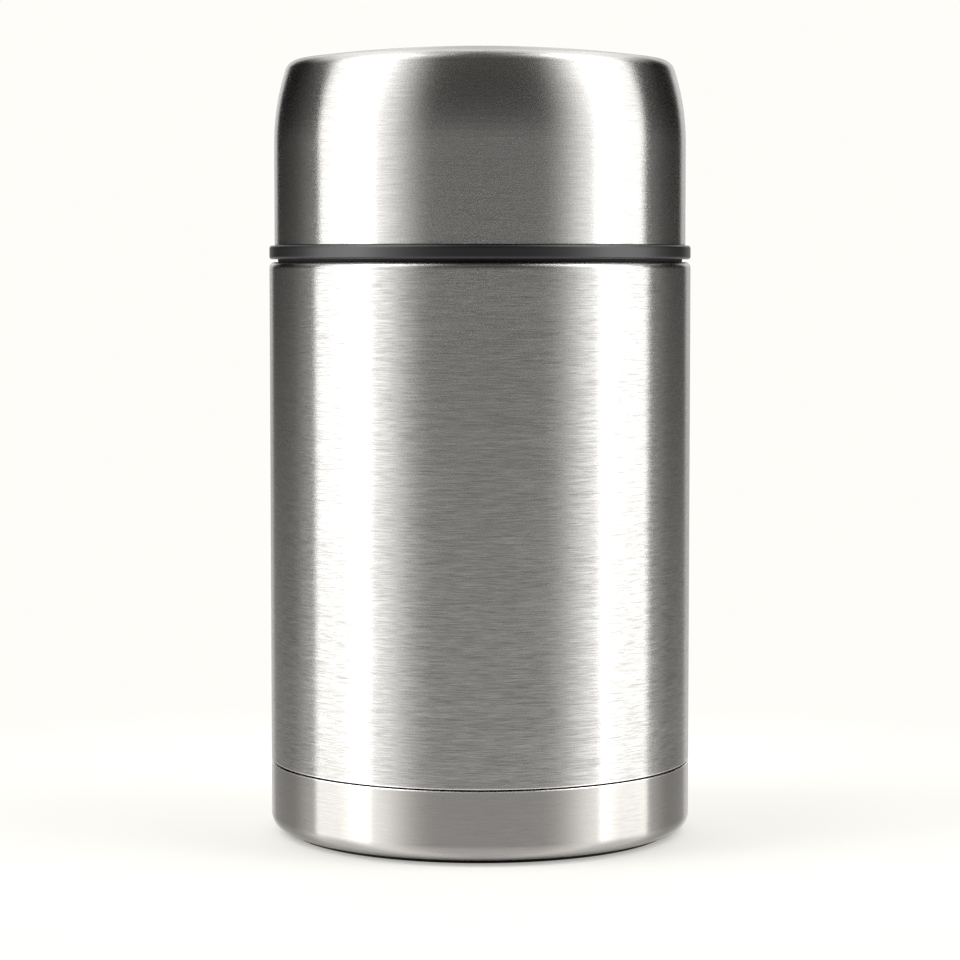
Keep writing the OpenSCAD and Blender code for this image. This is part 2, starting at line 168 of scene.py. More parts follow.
@dataclass
class Outline:
    """Half section of a turned piece, as corners with roundings."""

    corners: list[Corner]

    def sheet(self, thickness: float) -> "Outline":
        """The section of a sheet that lies to the left of this open line.

        Args:
            thickness: Thickness of the sheet.

        Returns:
            A closed outline: this line, and its parallel on the way back.
        """
        points = [Vector((c.r, c.z)) for c in self.corners]
        ways = [(b - a).normalized() for a, b in zip(points, points[1:])]
        lefts = [Vector((-w.y, w.x)) for w in ways]
        back = []
        for i, corner in enumerate(self.corners):
            before, after = lefts[max(i - 1, 0)], lefts[min(i, len(lefts) - 1)]
            middle = (before + after).normalized()
            place = points[i] + middle * thickness / middle.dot(after)
            turn = ways[max(i - 1, 0)].cross(ways[min(i, len(ways) - 1)])
            grown = corner.rounding - math.copysign(thickness, turn)
            back.append(Corner(max(place.x, 0.0), place.y, max(grown, 0.0) if corner.rounding else 0.0))
        return Outline(self.corners + back[::-1])

    def stations(self) -> list[Point]:
        """The points of the section, with its roundings as arcs and its holding edges.

        Returns:
            Points in millimetres. A section that doesn't start and end on the axis comes back to
            its first point.
        """
        count = len(self.corners)
        on_axis = self.corners[0].r == 0 and self.corners[-1].r == 0
        bends: list[Point] = []
        for i, corner in enumerate(self.corners):
            if corner.rounding <= 0:
                bends.append((corner.r, corner.z))
                continue
            here = Vector((corner.r, corner.z))
            before = self.corners[i - 1]
            after = self.corners[(i + 1) % count]
            to_before = (Vector((before.r, before.z)) - here).normalized()
            to_after = (Vector((after.r, after.z)) - here).normalized()
            half = to_before.angle(to_after) / 2
            centre = here + (to_before + to_after).normalized() * corner.rounding / math.sin(half)
            start = here + to_before * corner.rounding / math.tan(half) - centre
            end = here + to_after * corner.rounding / math.tan(half) - centre
            first = math.atan2(start.y, start.x)
            sweep = math.atan2(start.cross(end), start.dot(end))
            arc = arc_points((centre.x, centre.y), corner.rounding, first, first + sweep, ROUNDING_STEP)
            bends.extend((c.r, c.z) for c in arc)
        if not on_axis:
            bends.append(bends[0])
        held = [bends[0]]
        for (r0, z0), (r1, z1) in zip(bends, bends[1:]):
            length = math.hypot(r1 - r0, z1 - z0)
            if length > LONG_STRETCH:
                share = HOLD / length
                held += [(r0 + (r1 - r0) * s, z0 + (z1 - z0) * s) for s in (share, 1 - share)]
            held.append((r1, z1))
        return held


def section(*corners: Corner | tuple[float, ...]) -> Outline:
    """An outline through corners, ready or as radius, height and, where it has one, rounding."""
    return Outline([c if isinstance(c, Corner) else Corner(*c) for c in corners])


def angle_off(angle: float, places: int) -> float:
    """Angle between a direction and the nearest of several places spread evenly from +X on."""
    pitch = FULL_TURN / places
    return abs((angle + pitch / 2) % pitch - pitch / 2)


# ---- Mesh work ----


def clear_selection() -> None:
    """Deselects every object, so that the next operator acts on new work alone."""
    bpy.ops.object.select_all(action="DESELECT")


def drawn(name: str, stations: list[Point]) -> Piece:
    """Draws a line point by point in the XZ plane, and stays in edit mode with all of it selected.

    Args:
        name: Name of the new piece.
        stations: Points of the line, as radius and height.

    Returns:
        The piece, which holds the line alone.
    """
    clear_selection()
    bpy.ops.mesh.primitive_plane_add(size=MM)
    piece = bpy.context.object
    piece.name = name
    bpy.ops.object.mode_set(mode="EDIT")
    bpy.ops.mesh.merge(type="CENTER")
    last = (0.0, 0.0)
    for number, (r, z) in enumerate(stations):
        move = {"value": ((r - last[0]) * MM, 0.0, (z - last[1]) * MM)}
        if number == 0:
            bpy.ops.transform.translate(**move)
        else:
            bpy.ops.mesh.extrude_vertices_move(TRANSFORM_OT_translate=move)
        last = (r, z)
    bpy.ops.mesh.select_all(action="SELECT")
    return piece


def finished(piece: Piece, smooth_degrees: float = CRISP_TURNED) -> Piece:
    """Leaves edit mode with doubles merged, faces outwards and smooth shading.

    Args:
        piece: The piece, in edit mode.
        smooth_degrees: Edges that bend by more than this stay crisp.

    Returns:
        The same piece, in object mode.
    """
    bpy.ops.mesh.select_all(action="SELECT")
    bpy.ops.mesh.remove_doubles(threshold=MERGE)
    bpy.ops.mesh.normals_make_consistent(inside=False)
    bpy.ops.object.mode_set(mode="OBJECT")
    bpy.ops.object.shade_smooth_by_angle(angle=math.radians(smooth_degrees))
    return piece


def turned(name: str, outline: Outline, segments: int = SEGMENTS, angle: float = FULL_TURN) -> Piece:
    """Draws a half section and spins it round the axis.

    Args:
        name: Name of the piece.
        outline: Its half section.
        segments: Facets round the piece.
        angle: Angle of the spin in radians, from the XZ plane on.

    Returns:
        The finished piece, at the origin.
    """
    piece = drawn(name, outline.stations())
    bpy.ops.mesh.spin(steps=segments, angle=angle, center=(0, 0, 0), axis=(0, 0, 1))
    return finished(piece)


def reopened(piece: Piece) -> None:
    """Goes back into edit mode with all of a piece selected.

    Args:
        piece: The finished piece.
    """
    clear_selection()
    piece.select_set(True)
    bpy.context.view_layer.objects.active = piece
    bpy.ops.object.mode_set(mode="EDIT")
    bpy.ops.mesh.select_mode(type="VERT")
    bpy.ops.mesh.select_all(action="SELECT")


def repeat_round(times: int) -> None:
    """Repeats the selected mesh evenly round the axis, in edit mode.

    Args:
        times: How often the mesh is there in the end.
    """
    for _ in range(1, times):
        bpy.ops.mesh.duplicate()
        bpy.ops.transform.rotate(value=-FULL_TURN / times, orient_axis="Z", center_override=(0, 0, 0))


def carve(piece: Piece, wanted: Callable[[float, float, float], float]) -> None:
    """Moves vertices of a turned piece in or out to the radius that they should have.

    Args:
        piece: The finished piece.
        wanted: Gives the wanted radius, in millimetres, for a vertex at a radius, a height and an
            angle in radians. The same radius leaves the vertex where it is.
    """
    reopened(piece)
    groups: dict[float, list[int]] = {}
    mesh = bmesh.from_edit_mesh(piece.data)
    for vertex in mesh.verts:
        r, z = vertex.co.xy.length / MM, vertex.co.z / MM
        factor = round(wanted(r, z, math.atan2(vertex.co.y, vertex.co.x)) / r, 6) if r > 0 else 1.0
        if abs(factor - 1) > LEAST_SHIFT:
            groups.setdefault(factor, []).append(vertex.index)
    for factor, members in groups.items():
        bpy.ops.mesh.select_all(action="DESELECT")
        mesh = bmesh.from_edit_mesh(piece.data)
        mesh.verts.ensure_lookup_table()
        for index in members:
            mesh.verts[index].select = True
        bmesh.update_edit_mesh(piece.data)
        bpy.ops.transform.resize(value=(factor, factor, 1), center_override=(0, 0, 0))
    finished(piece)


@dataclass
class Flutes:
    """Round grooves along a wall, spread evenly round the axis from +X on.

    Each is cut by an upright rod whose middle stands at centre_r. Grooves in an outer wall reach
    from edge_r outwards and from edge_z upwards, and those in an inner wall the other way.
    """

    count: int
    centre_r: float
    rod_r: float
    side: Side
    edge_r: float
    edge_z: float

    def radius(self, r: float, z: float, angle: float) -> float:
        """Radius of a vertex once the grooves are cut.

        Args:
            r: Radius of the vertex.
            z: Height of the vertex.
            angle: Its angle round the axis, in radians.

        Returns:
            The radius that it should have.
        """
        way = self.side.value
        off = angle_off(angle, self.count)
        across = self.centre_r * math.sin(off)
        if way * (r - self.edge_r) < 0 or way * (z - self.edge_z) < 0 or across >= self.rod_r:
            return r
        cut = self.centre_r * math.cos(off) - way * math.sqrt(self.rod_r**2 - across**2)
        return way * min(way * r, way * cut)


@dataclass
class Winding:
    """A bar that climbs round the axis: a coil of wire or the ridge of a thread.

    It turns by an angle in degrees, in even steps. The height and the radius of its middle are
    functions of the share of the way that is done.
    """

    section: list[Point]
    turn: float
    steps: int
    height: Callable[[float], float]
    radius: Callable[[float], float]
    starts: int = 1

    def piece(self, name: str) -> Piece:
        """Winds the bar, and repeats it evenly round the axis where it has several starts.

        Args:
            name: Name of the piece.

        Returns:
            The finished piece, at the origin.
        """
        ring = [(self.radius(0) + out, self.height(0) + up) for out, up in self.section]
        piece = drawn(name, ring + ring[:1])
        bpy.ops.mesh.remove_doubles(threshold=MERGE_SECTION)
        bpy.ops.mesh.edge_face_add()
        step_angle = math.radians(self.turn) / self.steps
        for i in range(self.steps):
            done, next_done = i / self.steps, (i + 1) / self.steps
            out = (self.radius(next_done) - self.radius(done)) * MM
            up = (self.height(next_done) - self.height(done)) * MM
            move = (out * math.cos(step_angle * i), out * math.sin(step_angle * i), up)
            bpy.ops.mesh.extrude_region_move(TRANSFORM_OT_translate={"value": move})
            bpy.ops.transform.rotate(value=-step_angle, orient_axis="Z", center_override=(0, 0, 0))
        bpy.ops.mesh.select_all(action="SELECT")
        repeat_round(self.starts)
        return finished(piece, CRISP_WOUND)


@dataclass
class Thread:
    """A four-start right-handed screw thread of rounded ridges on a round wall.

    Each ridge rises out of the wall at its start and sinks back into it at its end.
    """

    wall_r: float
    foot_z: float
    top_z: float
    side: Side
    ridge_h: float = 0.8
    ridge_w: float = 1.8
    lead: float = 16.0
    starts: int = 4
    root: float = 0.3
    # Share of the way at each end over which the ridge sinks, and how far under the wall it ends
    run_out: float = 0.14
    sunk_end: float = 0.1
    # Shares of height and of half width on one flank, from the foot to the crest
    flank: tuple[Point, ...] = ((0.0, 1.0), (0.45, 0.74), (0.8, 0.47), (1.0, 0.17))
    step_degrees: float = 4.0

    def radius(self, done: float) -> float:
        """Radius of the ridge's foot at a share of its way, sunk near both ends.

        Args:
            done: Share of the way that is done.

        Returns:
            The radius in millimetres.
        """
        near_end = min(done, 1 - done, self.run_out) / self.run_out
        sunk = (self.ridge_h + self.sunk_end) * (1 - near_end * near_end * (3 - 2 * near_end))
        return self.wall_r - self.side.value * sunk

    def piece(self, name: str) -> Piece:
        """Winds the ridges.

        Args:
            name: Name of the piece.

        Returns:
            The finished piece, with one ridge for each start.
        """
        profile = [*self.flank, *((out, -up) for out, up in reversed(self.flank))]
        ridge = [(self.side.value * self.ridge_h * out, self.ridge_w / 2 * up) for out, up in profile]
        ridge += [(-self.side.value * self.root, up * self.ridge_w / 2) for up in (-1, 1)]
        climb = self.top_z - self.foot_z
        turn = 360 * climb / self.lead
        steps = math.ceil(turn / self.step_degrees)
        winding = Winding(
            ridge, turn, steps, lambda done: self.foot_z + climb * done, self.radius, self.starts
        )
        return winding.piece(name)


# ---- Finishes ----

# Shares of the brushing noise where a line turns from dark to light and from rough to smooth, and
# shares of the scratch noise where a scratch turns from clean to torn
TINT_SPAN = (0.37, 0.77)
POLISH_SPAN = (0.3, 0.9)
TORN_SPAN = (0.52, 0.74)


def linear(hex_colour: str) -> tuple[float, float, float, float]:
    """Turns an sRGB hex colour into the linear colour that a shader takes."""
    shares = [int(hex_colour[i : i + 2], 16) / 255 for i in (1, 3, 5)]
    return (*[s / 12.92 if s <= 0.04045 else ((s + 0.055) / 1.055) ** 2.4 for s in shares], 1.0)


def add_node(
    tree: Tree, kind: str, inputs: dict | tuple = (), output: int | str = 0, **settings: object
) -> Socket | None:
    """Adds a node with its settings and links.

    Args:
        tree: Node tree of a material or a world.
        kind: Blender's name of the node's type, after ShaderNode.
        inputs: Values of its sockets, or the sockets that they are linked to, by key or in order.
        output: The output that is wanted.
        settings: Values of the node's own properties.

    Returns:
        That output, or nothing for a node without outputs.
    """
    node = tree.nodes.new(f"ShaderNode{kind}")
    for key, value in settings.items():
        setattr(node, key, value)
    for key, value in inputs.items() if isinstance(inputs, dict) else enumerate(inputs):
        if isinstance(value, Socket):
            tree.links.new(value, node.inputs[key])
        else:
            node.inputs[key].default_value = value
    return node.outputs[output] if node.outputs else None


def empty_material(name: str) -> tuple[bpy.types.Material, Callable[..., Socket | None]]:
    """Makes a material without nodes.

    Args:
        name: Its name.

    Returns:
        The material, and add_node for its tree.
    """
    material = bpy.data.materials.new(name)
    material.use_nodes = True
    material.node_tree.nodes.clear()
    return material, functools.partial(add_node, material.node_tree)


@dataclass(frozen=True)
class BrushedSteel:
    """Stainless steel 304, ground with a belt while it turned on a lathe.

    The scratches run round the piece, so a reflection stays narrow across the piece and is drawn
    out along its height, and fine light and dark lines show all over.
    """

    name: str
    slot: Slot
    colour: str = "#CFCDCA"
    line_colour: str = "#969491"
    grain: Grain = Grain.CROWNED
    roughness: float = 0.24
    anisotropy: float = 1.0
    # Part of a turn between the tangent, which runs round the piece, and the drawn-out reflection
    streak_turn: float = 0.25
    # How much the lines add to the roughness and take from it
    roughness_swing: float = 0.04
    # Height of one brushing line and how far it runs round the piece, in millimetres. A real line
    # is under 0.1 mm high, which is too fine to show, so it is drawn coarser
    line_height: float = 0.17
    line_length: float = 5.0
    line_depth: float = 0.012
    # Patches of lines are this many times as large as a line, and this much as strong
    patch_size: float = 6.0
    patch_share: float = 0.15
    # Short scratches that break up the edge of a reflection, also drawn coarser than they are
    scratch_length: float = 0.5
    scratch_height: float = 0.25
    scratch_depth: float = 0.024
    # How torn the spots on the scratches are. A torn spot scatters light more widely and evenly
    torn: float = 0.5
    torn_roughness: float = 0.3
    torn_anisotropy: float = -0.6
    # Octaves of the noise for lines, and for patches and scratches, and the share that each adds
    line_detail: float = 3.0
    patch_detail: float = 2.0
    noise_roughness: float = 0.65
    bump_strength: float = 0.5
    # Height and radius of a seam, the width of painted shade in its groove, and the width of painted
    # highlight on its edges
    seam_z: float = -1.0
    seam_r: float = 0.0
    seam_width: float = 0.5
    burnish_width: float = 1.0
    # Colour of the painted shade in the seam's groove
    residue_colour: str = "#12110F"
    # Colour of the painted highlight on the seam's edges
    burnish_colour: str = "#FBF9F6"

    def material(self) -> bpy.types.Material:
        """Builds the material.

        Returns:
            The material, with its lines on Object coordinates.
        """
        material, node = empty_material(self.name)
        x, y, z = node("SeparateXYZ", (node("TexCoord", output="Object"),)).node.outputs
        radius = node("VectorMath", (node("CombineXYZ", (x, y)),), 1, operation="LENGTH")
        climb = node("Math", (radius, self.grain.value, z), operation="MULTIPLY_ADD")
        unrolled = node("CombineXYZ", (x, y, climb))

        specks = []
        for length, height, detail in (
            (self.line_length, self.line_height, self.line_detail),
            (self.patch_size * self.line_length, self.patch_size * self.line_height, self.patch_detail),
            (self.scratch_length, self.scratch_height, self.patch_detail),
        ):
            sizes = (1 / (length * MM), 1 / (length * MM), 1 / (height * MM))
            place = node("VectorMath", (unrolled, sizes), operation="MULTIPLY")
            look = {"Vector": place, "Scale": 1.0, "Detail": detail, "Roughness": self.noise_roughness}
            specks.append(node("TexNoise", look))
        lines, patches, scratches = specks
        mixed = node("Math", (patches, self.patch_share, lines), operation="MULTIPLY_ADD")
        torn = node("MapRange", (scratches, *TORN_SPAN, 0.0, self.torn))

        seam_z = self.seam_z * MM
        # A band of painted highlight along both edges of the seam
        on_edge = node("Math", (z, seam_z, self.burnish_width * MM / 2), operation="COMPARE")
        # Painted shade inside the seam's groove, where the radius is under seam_r
        near_seam = node("Math", (z, seam_z, self.seam_width * MM / 2), operation="COMPARE")
        in_seam = node("Math", (radius, self.seam_r * MM), operation="LESS_THAN")
        layers = (
            (self.colour, node("MapRange", (mixed, *TINT_SPAN))),
            # Painted highlight on the seam's edges
            (self.burnish_colour, on_edge),
            # Painted shade in the seam's groove
            (self.residue_colour, node("Math", (near_seam, in_seam), operation="MULTIPLY")),
        )
        colour = linear(self.line_colour)
        for layer, share in layers:
            look = {"Factor": share, "A": colour, "B": linear(layer)}
            colour = node("Mix", look, "Result", data_type="RGBA")

        most, least = self.roughness + self.roughness_swing, self.roughness - self.roughness_swing
        rough_lines = node("MapRange", (mixed, *POLISH_SPAN, most, least))
        rough = node("Math", (torn, self.torn_roughness, rough_lines), operation="MULTIPLY_ADD")
        drawn_out = node("Math", (torn, self.torn_anisotropy, self.anisotropy), operation="MULTIPLY_ADD")
        relief = {"Height": lines, "Strength": self.bump_strength, "Distance": self.line_depth * MM}
        line_bump = node("Bump", relief)
        relief |= {"Height": scratches, "Distance": self.scratch_depth * MM, "Normal": line_bump}
        shader = node("BsdfPrincipled", {
            "Base Color": colour,
            "Metallic": 1.0,
            "Roughness": rough,
            "Anisotropic": drawn_out,
            "Anisotropic Rotation": self.streak_turn,
            "Normal": node("Bump", relief),
            "Tangent": node("Tangent", direction_type="RADIAL", axis="Z"),
        })
        node("OutputMaterial", {"Surface": shader})
        return material


@dataclass(frozen=True)
class GrainedFinish:
    """An even finish with a fine grain and soft clouds of a second colour."""

    name: str
    slot: Slot
    colour: str
    cloud_colour: str
    roughness: float
    roughness_range: float = 0.05
    metallic: float = 0.0
    ior: float = 1.5
    texture: Texture = Texture.SPECKS
    # Size and depth of the grain and size of the clouds, in millimetres. A fine grain is drawn a
    # little coarser than it is, so that it shows
    grain_size: float = 0.25
    grain_depth: float = 0.006
    cloud_size: float = 15.0
    cloud_detail: float = 3.0
    bump_strength: float = 0.6

    def material(self) -> bpy.types.Material:
        """Builds the material.

        Returns:
            The material, with its grain on Object coordinates.
        """
        material, node = empty_material(self.name)
        place = node("TexCoord", output="Object")
        grain = node(self.texture.value, {"Vector": place, "Scale": 1 / (self.grain_size * MM)})
        look = {"Vector": place, "Scale": 1 / (self.cloud_size * MM), "Detail": self.cloud_detail}
        look = {"Factor": node("TexNoise", look), "A": linear(self.colour), "B": linear(self.cloud_colour)}
        least = max(self.roughness - self.roughness_range, 0.0)
        most = min(self.roughness + self.roughness_range, 1.0)
        relief = {"Height": grain, "Strength": self.bump_strength, "Distance": self.grain_depth * MM}
        shader = node("BsdfPrincipled", {
            "Base Color": node("Mix", look, "Result", data_type="RGBA"),
            "Metallic": self.metallic,
            "Roughness": node("MapRange", (grain, 0.0, 1.0, least, most)),
            "IOR": self.ior,
            "Normal": node("Bump", relief),
        })
        node("OutputMaterial", {"Surface": shader})
        return material


Finish = BrushedSteel | GrainedFinish

# Height of the seam between wall and base cup, and the radius that its groove goes in to
SEAM_Z = 18.7
SEAM_R = 53.7

# Stainless steel 304, ground with a coarse belt: long lines, with torn spots that glint in the dark
WALL_STEEL = BrushedSteel("brushed_steel_wall", Slot.BRUSHED_STEEL, seam_z=SEAM_Z, seam_r=SEAM_R)
# The lid's steel is ground a little smoother and looks a little darker
LID_STEEL = BrushedSteel(
    "brushed_steel_lid", Slot.BRUSHED_STEEL, "#C5C3C0", "#A3A19E", roughness=0.22, scratch_depth=0.03,
    torn=0.45,
)
# Stainless steel 304, pressed and then ground with a finer belt than the wall
CUP_STEEL = BrushedSteel(
    "brushed_steel_cup", Slot.BRUSHED_STEEL, "#B9B6B2", "#B0ADA9", Grain.CUPPED, line_depth=0.006,
    scratch_depth=0.007, torn=0.1, seam_z=SEAM_Z, seam_r=SEAM_R,
)
# Stainless steel 304, electropolished after deep drawing: smoother, with faint rings from the tools
LINER_STEEL = BrushedSteel(
    "electropolished_steel_liner", Slot.LINER_STEEL, "#D6D5D1", "#C4C3BF", Grain.CUPPED, 0.3, 0.45,
    line_height=0.5, line_length=14.0, line_depth=0.005, scratch_depth=0.003, torn=0.0,
)
# The same steel in the bowl, with rings that follow its crown
BOWL_STEEL = replace(LINER_STEEL, name="electropolished_steel_bowl", grain=Grain.CROWNED)
# Stainless spring wire, drawn bright: a hard narrow gleam with fine drawing marks
SPRING_WIRE = GrainedFinish(
    "drawn_spring_wire", Slot.SPRING_STEEL, "#D2D2D0", "#BEBEBC", 0.2, metallic=1.0, grain_size=0.12,
    grain_depth=0.004, cloud_size=3.0,
)
# Copper foil, rolled thin and wrapped by hand: bright, warm and softly crumpled
WRAPPED_COPPER = GrainedFinish(
    "rolled_copper_foil", Slot.COPPER_FOIL, "#D99A72", "#C07F58", 0.24, 0.08, metallic=1.0, grain_size=4.0,
    grain_depth=0.25, cloud_size=20.0,
)
# Zirconium getter, pressed from powder and sintered: dark, dry and sandy
SINTERED_GETTER = GrainedFinish(
    "sintered_zirconium", Slot.GETTER_ALLOY, "#6A6A6C", "#4E4E50", 0.8, metallic=0.7, grain_size=0.2,
    grain_depth=0.04, cloud_size=1.5,
)
# Sealing glass, melted over the pump-out hole: dark with a wet gloss and a few bubbles
SEALING_GLASS = GrainedFinish(
    "fused_sealing_glass", Slot.SEAL_GLASS, "#3C3E40", "#4C4E50", 0.08, 0.03, ior=1.55,
    texture=Texture.CELLS, grain_size=0.6, grain_depth=0.01, cloud_size=2.0,
)
# Polypropylene, injection moulded in a spark-eroded mould: an even grain, so the sheen is soft
RING_PLASTIC = GrainedFinish(
    "moulded_polypropylene_ring", Slot.RING_PLASTIC, "#0A0A0B", "#0E0E0F", 0.34, ior=1.62,
)
STOPPER_PLASTIC = GrainedFinish(
    "moulded_polypropylene_stopper", Slot.STOPPER_PLASTIC, "#4B4E51", "#53565A", 0.46,
)
BUTTON_PLASTIC = GrainedFinish(
    "moulded_polypropylene_button", Slot.BUTTON_PLASTIC, "#6A6C70", "#72757A", 0.36,
)
# Polyurethane foam, poured between the walls of the stopper: pale, matt and full of small cells
POURED_FOAM = GrainedFinish(
    "poured_polyurethane_foam", Slot.FOAM, "#F1EFE6", "#E6E3D6", 0.92, texture=Texture.CELLS,
    grain_size=0.6, grain_depth=0.15, cloud_size=10.0,
)
# Silicone rubber, compression moulded: matt, with the faintest waxy gleam
PALE_SILICONE = GrainedFinish(
    "moulded_silicone", Slot.SILICONE, "#DAD9D3", "#D0CFC8", 0.55, ior=1.41, grain_size=0.4,
    grain_depth=0.01, cloud_size=8.0,
)
# Black silicone on the foot pad and the lid's gasket. Its black is partly painted shade: it stands in for the
# shade in the thin gaps under the base and under the lid's ring
BLACK_SILICONE = GrainedFinish(
    "moulded_black_silicone", Slot.BLACK_SILICONE, "#0C0C0C", "#121212", 0.62, ior=1.41, grain_size=0.4,
    grain_depth=0.01, cloud_size=8.0,
)


@functools.cache
def material_of(finish: Finish) -> bpy.types.Material:
    """The material of a finish, built once."""
    return finish.material()


def fit(piece: Piece, finish: Finish, body: Body, node: str = "") -> None:
    """Dresses a piece, puts it on its body and lets it stand for its node.

    Args:
        piece: The finished piece.
        finish: Its finish, which names the record's slot.
        body: Body that the piece moves with.
        node: Node of the frame that it stands for.
    """
    piece.data.materials.clear()
    piece.data.materials.append(material_of(finish))
    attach(piece, body.value)
    if node:
        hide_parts(node)
    log.info("%s: %d faces on %s", piece.name, len(piece.data.polygons), body.value)


def dress(node: str, finish: Finish) -> None:
    """Gives a node that keeps its own mesh the material of a finish.

    Args:
        node: Name of the node.
        finish: Its finish.
    """
    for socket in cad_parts[node].material_slots:
        socket.material = material_of(finish)
    log.info("%s: %s", node, finish.name)


# ---- Studio ----

# Warm white of the floor and the backdrop, as the camera sees them
PALE = "#FEFDF9"
# In the polish, dim surroundings are a warm grey and lit ones white, over this span of radiance
WARM_SPAN = (0.15, 0.9)
WARM = "#FEFAF4"
WHITE = "#FFFFFF"


class Way(Enum):
    """What a light fades along, as shares of how far a direction points aside, back and up.

    Aside and back are those of the level direction, so that they don't shrink as it rises.
    """

    BACK = (0.0, 1.0, 0.0)
    BACK_FROM_LEFT = (-0.08, 1.0, 0.0)
    BACK_FROM_RIGHT = (0.04, 1.0, 0.0)
    UP = (0.0, 0.0, 1.0)


@dataclass(frozen=True)
class Fade:
    """A level that goes smoothly from before to after while its way goes from start to end."""

    way: Way
    start: float
    end: float
    before: float
    after: float
    # A level that is added to the way
    lift: "Fade | None" = None

    def level(self, tree: Tree, heading: Socket) -> Socket:
        """Adds the nodes that work the level out.

        Args:
            tree: Node tree of the world.
            heading: The direction, as aside, back and up.

        Returns:
            The level.
        """
        at = add_node(tree, "VectorMath", (heading, self.way.value), 1, operation="DOT_PRODUCT")
        if self.lift:
            at = add_node(tree, "Math", (self.lift.level(tree, heading), at), operation="ADD")
        ends = (at, self.start, self.end, self.before, self.after)
        return add_node(tree, "MapRange", ends, interpolation_type="SMOOTHSTEP")


# What the polish mirrors. Each light is the product of its fades, and the lights are added up
SURROUNDINGS = (
    # The room: dim, darkest in front, and gone towards the back
    (Fade(Way.BACK, -0.5, 0.2, 0.03, 0.06), Fade(Way.BACK, 0.25, 0.8, 1.0, 0.0)),
    # Light from under the horizon, stronger in front. At the sides and the back it ends a little lower
    (
        Fade(Way.BACK, -0.2, 0.6, 0.79, 0.53),
        Fade(Way.UP, -0.2, 0.02, 1.0, 0.0, Fade(Way.BACK, -0.2, 0.6, 0.0, 0.01)),
    ),
    # Glow in front of the two lamps, which softens their inner edges
    (
        Fade(Way.BACK_FROM_LEFT, -0.88, -0.42, 0.0, 1.85),
        Fade(Way.BACK, -0.45, -0.1, 1.0, 0.0),
        Fade(Way.UP, -0.2, 0.0, 0.4, 1.0),
    ),
    # The backdrop, dimmer at the floor and in the middle plane, and gone higher up
    (
        Fade(Way.BACK_FROM_RIGHT, 0.895, 0.912, 0.0, 1.0),
        Fade(Way.BACK, 0.985, 0.996, 1.0, 0.3),
        Fade(Way.UP, 0.3, 0.6, 1.0, 0.0),
        Fade(Way.UP, -0.12, 0.12, 0.33, 0.86),
    ),
    # Skirts beside the lamps' outer edges, under the horizon
    (
        Fade(Way.BACK, 0.1, 0.2, 0.0, 0.35),
        Fade(Way.BACK, 0.26, 0.6, 1.0, 0.0),
        Fade(Way.UP, -0.15, 0.02, 1.3, 0.0),
    ),
    # A canopy over the back and the sides, lower in the middle plane and open at the very top
    (
        Fade(Way.BACK, -0.6, -0.3, 0.0, 1.5),
        Fade(Way.UP, 0.4, 0.7, 0.0, 1.0, Fade(Way.BACK, 0.85, 0.98, 0.0, 0.15)),
        Fade(Way.UP, 0.93, 0.99, 1.0, 0.0),
    ),
    # A little light from high overhead
    (Fade(Way.UP, 0.5, 0.8, 0.0, 0.16),),
)


@dataclass
class Softbox:
    """A tall lamp that faces the jar, between two azimuths in degrees from the front.

    Its lengths are in metres.
    """

    name: str
    start: float
    end: float
    distance: float = 0.9
    foot: float = -0.2
    top: float = 2.4
    radiance: float = 2.3

    def place(self) -> None:
        """Adds the lamp to the scene."""
        width = 2 * self.distance * math.tan(math.radians(abs(self.end - self.start)) / 2)
        height = self.top - self.foot
        lamp = bpy.data.lights.new(self.name, "AREA")
        lamp.shape = "RECTANGLE"
        lamp.size = width
        lamp.size_y = height
        lamp.energy = self.radiance * math.pi * width * height
        holder = bpy.data.objects.new(self.name, lamp)
        bpy.context.scene.collection.objects.link(holder)
        turn = math.radians((self.start + self.end) / 2)
        middle = (self.foot + self.top) / 2
        holder.location = (self.distance * math.sin(turn), -self.distance * math.cos(turn), middle)
        holder.rotation_euler = (math.radians(90), 0, turn)
        holder.visible_camera = False


